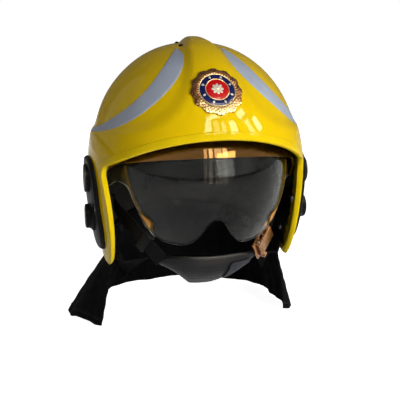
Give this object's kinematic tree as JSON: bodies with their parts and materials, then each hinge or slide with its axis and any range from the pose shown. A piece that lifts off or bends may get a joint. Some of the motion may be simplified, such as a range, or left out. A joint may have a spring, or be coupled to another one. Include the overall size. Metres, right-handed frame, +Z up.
{
  "type": "fire helmet with two shields",
  "caption": "Open-face fire helmet with a hinged clear eye shield, a stowed gold face shield, size adjuster, chin strap with quick-release buckle and neck cloth.",
  "frame": {"origin": "middle of the head opening, on the level of the widest part of the shell, where the head sits", "axes": "+X to the wearer's left, -Y towards the face, +Z up through the crown"},
  "size_m": [0.2843, 0.3041, 0.3426],
  "materials": {
    "shell_paint": "glossy yellow paint on a moulded shell",
    "trim": "satin yellow",
    "reflective_tape": "blue-grey retroreflective tape",
    "black_plastic": "matt black moulding",
    "cap_plastic": "dark brown-grey moulding",
    "badge_metal": "aged brass with enamel",
    "steel": "plain",
    "brass": "copper-coloured, satin",
    "nylon": "natural",
    "clear_visor": "clear polycarbonate",
    "gold_visor": "gold-coated polycarbonate",
    "foam": "moulded foam",
    "padding": "knitted cover",
    "webbing": "woven black tape",
    "amber_plastic": "amber edge strip of the eye shield",
    "dark_webbing": "woven dark tape",
    "neck_cloth": "near-black flame-retardant cloth"
  },
  "bodies": {
    "helmet": {"outer_shell": "shell_paint", "edge_trim": "trim", "reflective_bands": "reflective_tape", "crest_vents": "black_plastic", "front_badge": "badge_metal", "side_plate_left": "black_plastic", "side_plate_right": "black_plastic", "plate_screws": "steel", "accessory_inserts": "brass", "lug_caps": "cap_plastic", "pivot_bushes": "black_plastic", "hinge_pins": "steel", "pivot_washers": "nylon", "impact_liner": "foam", "crown_pad": "padding", "headband": "black_plastic", "brow_pad": "padding", "crown_straps": "dark_webbing", "band_clips": "steel", "ratchet_housing": "black_plastic", "ear_pad_left": "padding", "ear_pad_right": "padding", "strap_anchors": "black_plastic", "chin_strap_left": "webbing", "chin_strap_right": "webbing", "chin_cup": "neck_cloth", "strap_slider": "black_plastic", "buckle_frame": "brass", "buckle_pin": "steel", "strap_tip": "dark_webbing", "neck_strip": "black_plastic", "neck_snaps": "steel", "neck_guard": "neck_cloth", "neck_collar": "neck_cloth"},
    "face_shield": {"face_shield": "gold_visor", "face_shield_hubs": "black_plastic"},
    "eye_shield": {"eye_shield": "clear_visor", "eye_shield_hubs": "black_plastic"},
    "nape_cradle": {"nape_cradle": "black_plastic", "nape_pad": "padding"},
    "ratchet_knob": {"ratchet_knob": "black_plastic"},
    "buckle_lever": {"buckle_lever": "brass"}
  },
  "joints": [
    {"name": "face_shield_hinge", "type": "hinge", "parent": "helmet", "child": "face_shield", "pos_m": [0, 0, -0.01], "axis": [1, 0, 0], "range_deg": [0, 50]},
    {"name": "eye_shield_hinge", "type": "hinge", "parent": "helmet", "child": "eye_shield", "pos_m": [0, 0, -0.01], "axis": [-1, 0, 0], "range_deg": [0, 48]},
    {"name": "nape_slide", "type": "slide", "parent": "helmet", "child": "nape_cradle", "axis": [0, -1, 0], "range_m": [0, 0.01]},
    {"name": "knob_turn", "type": "hinge", "parent": "helmet", "child": "ratchet_knob", "pos_m": [0, 0.13, -0.03], "axis": [0, 1, 0], "range_deg": [0, 180]},
    {"name": "buckle_lever_hinge", "type": "hinge", "parent": "helmet", "child": "buckle_lever", "pos_m": [0.06199, -0.07236, -0.09116], "axis": [0.3882, 0.5711, -0.7233], "range_deg": [0, 70]}
  ],
  "couplings": [
    {"joint": "knob_turn", "follows": "nape_slide", "rad_per_m": 314.16}
  ]
}
